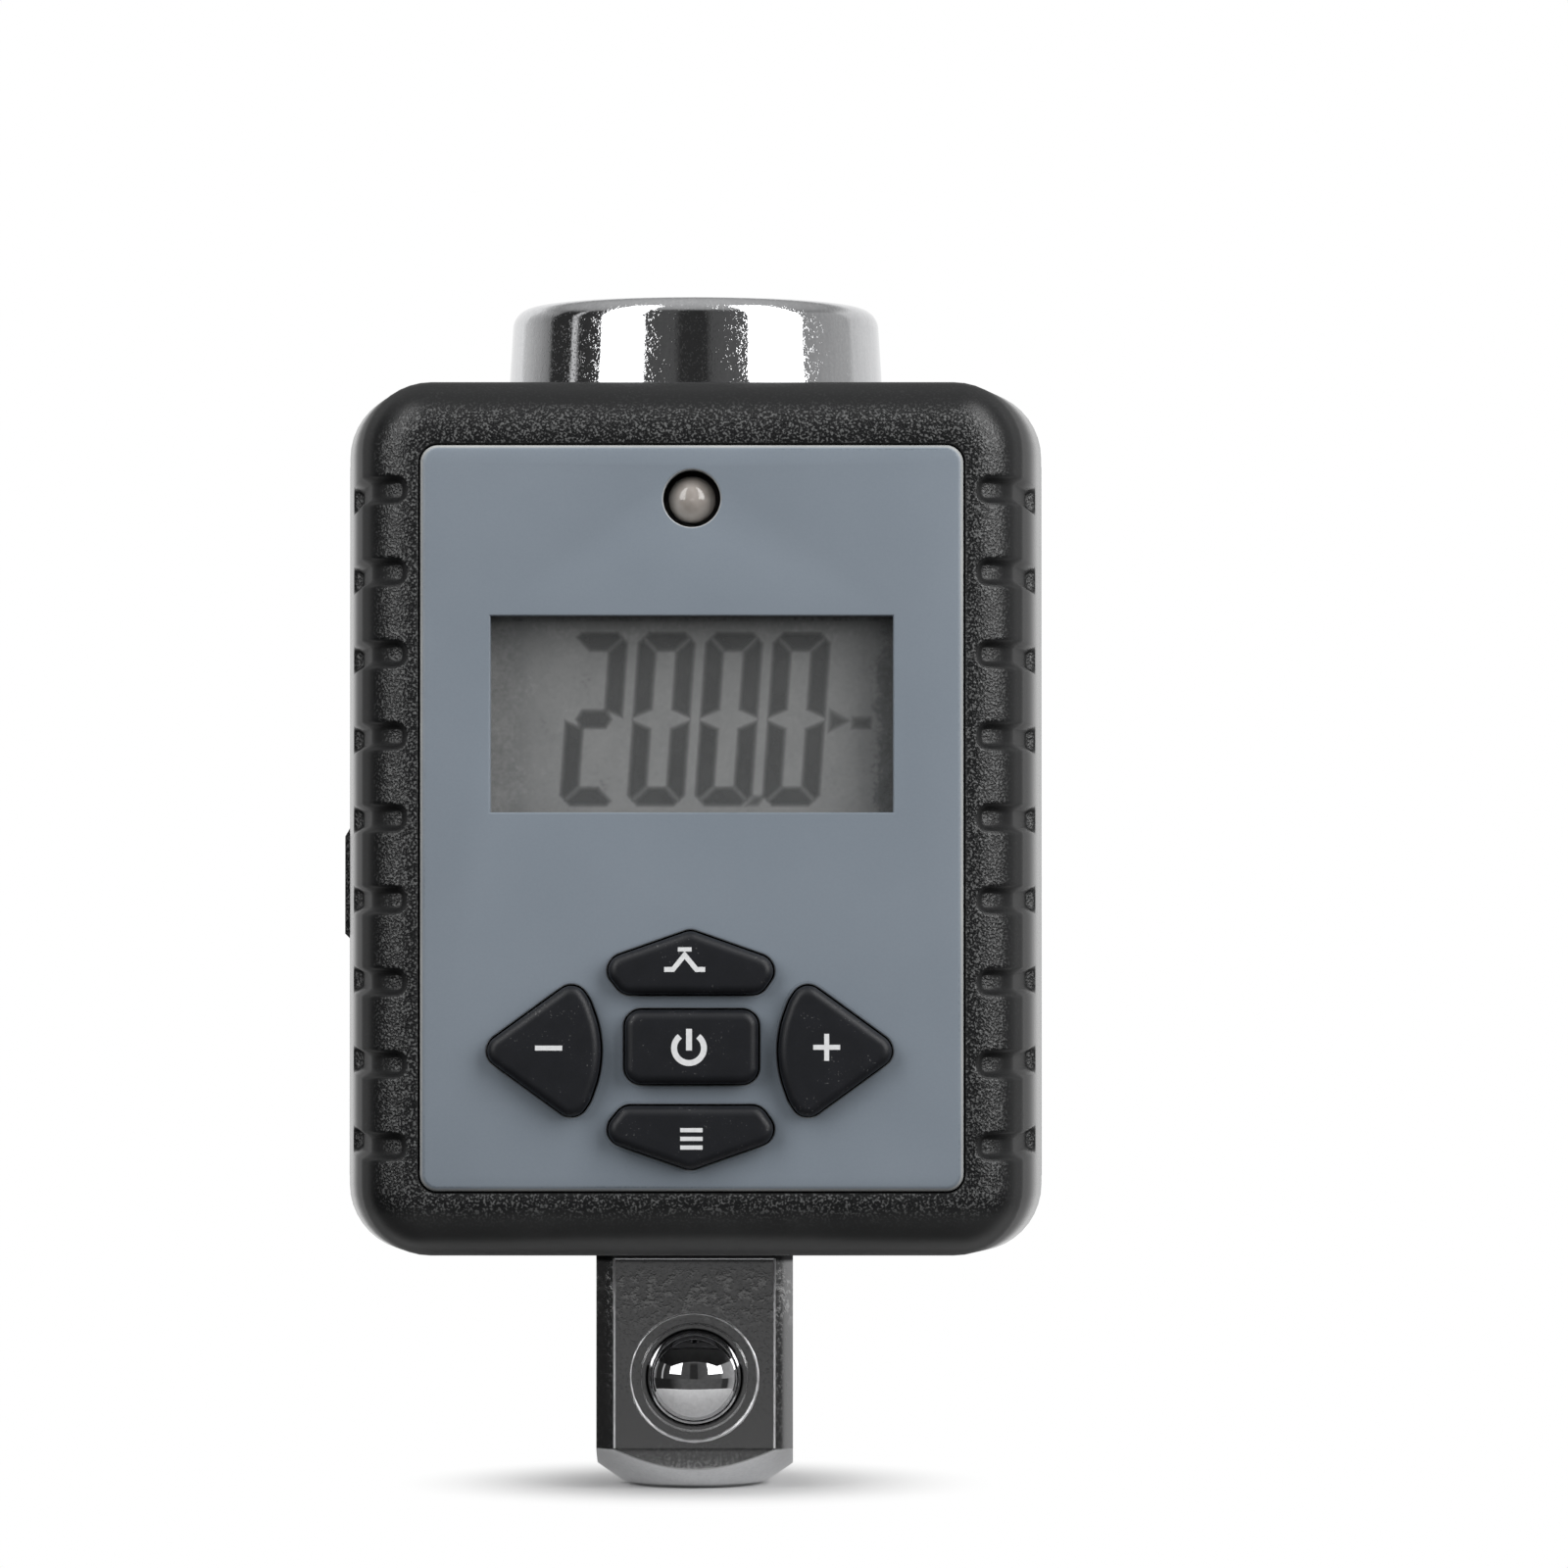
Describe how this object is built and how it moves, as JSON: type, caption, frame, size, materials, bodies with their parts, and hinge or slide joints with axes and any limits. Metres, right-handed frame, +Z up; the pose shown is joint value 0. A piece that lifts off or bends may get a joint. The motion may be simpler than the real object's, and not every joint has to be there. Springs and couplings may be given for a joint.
{
  "type": "digital torque adapter",
  "caption": "Square-drive shaft with a strain-gauge cell, carried in a hand-held display case with a keypad, a spring ball detent and a hinged battery door.",
  "frame": {"origin": "centre of the male square's end face, on the drive axis", "axes": "+Z up the drive axis towards the female square, -Y out of the display, +X to the display's right"},
  "size_m": [0.0457, 0.0472, 0.0766],
  "materials": {
    "case_plastic": "grained",
    "plate_metal": "satin",
    "clear_window": "clear",
    "lcd_grey": "matt",
    "lcd_ink": "matt",
    "black_plastic": "matt",
    "elastomer": "matt",
    "board_green": "satin",
    "chip_black": "matt",
    "lamp_lens": "milky",
    "key_rubber": "matt",
    "switch_metal": "satin",
    "chromed_steel": "polished",
    "gauge_film": "satin",
    "bush_plastic": "satin",
    "spring_steel": "drawn",
    "polished_steel": "polished",
    "cell_wrap": "gloss",
    "plated_contact": "plated",
    "lead_wire": "satin",
    "dark_screw": "blackened"
  },
  "bodies": {
    "case": {"front_housing": "case_plastic", "rear_housing": "case_plastic", "face_plate": "plate_metal", "display_window": "clear_window", "lcd_glass": "lcd_grey", "lcd_digits": "lcd_ink", "lcd_holder": "black_plastic", "contact_strips": "elastomer", "main_board": "board_green", "board_chips": "chip_black", "buzzer": "black_plastic", "indicator_lamp": "lamp_lens", "keypad_mat": "key_rubber", "key_switches": "switch_metal", "drive_shaft": "chromed_steel", "strain_gauges": "gauge_film", "gauge_ribbon": "gauge_film", "upper_bush": "bush_plastic", "lower_bush": "bush_plastic", "retaining_ring": "spring_steel", "detent_spring": "spring_steel", "battery_cells": "cell_wrap", "battery_springs": "plated_contact", "battery_contacts": "plated_contact", "battery_leads": "lead_wire", "case_screws": "dark_screw", "board_screws": "plated_contact"},
    "peak_key": {"peak_key": "key_rubber"},
    "minus_key": {"minus_key": "key_rubber"},
    "power_key": {"power_key": "key_rubber"},
    "plus_key": {"plus_key": "key_rubber"},
    "menu_key": {"menu_key": "key_rubber"},
    "detent_ball": {"detent_ball": "polished_steel"},
    "battery_door": {"battery_door": "case_plastic"}
  },
  "joints": [
    {"name": "peak_press", "type": "slide", "parent": "case", "child": "peak_key", "axis": [0, 1, 0], "range_m": [0, 0.0006], "stiffness_N_per_m": 800},
    {"name": "minus_press", "type": "slide", "parent": "case", "child": "minus_key", "axis": [0, 1, 0], "range_m": [0, 0.0006], "stiffness_N_per_m": 800},
    {"name": "power_press", "type": "slide", "parent": "case", "child": "power_key", "axis": [0, 1, 0], "range_m": [0, 0.0006], "stiffness_N_per_m": 800},
    {"name": "plus_press", "type": "slide", "parent": "case", "child": "plus_key", "axis": [0, 1, 0], "range_m": [0, 0.0006], "stiffness_N_per_m": 800},
    {"name": "menu_press", "type": "slide", "parent": "case", "child": "menu_key", "axis": [0, 1, 0], "range_m": [0, 0.0006], "stiffness_N_per_m": 800},
    {"name": "ball_press", "type": "slide", "parent": "case", "child": "detent_ball", "axis": [0, 1, 0], "range_m": [0, 0.0023], "stiffness_N_per_m": 2500, "deforming": ["detent_spring"]},
    {"name": "door_hinge", "type": "hinge", "parent": "case", "child": "battery_door", "pos_m": [0.0118, 0.02507, 0.0432], "axis": [0, 0, -1], "range_deg": [0, 95]}
  ]
}
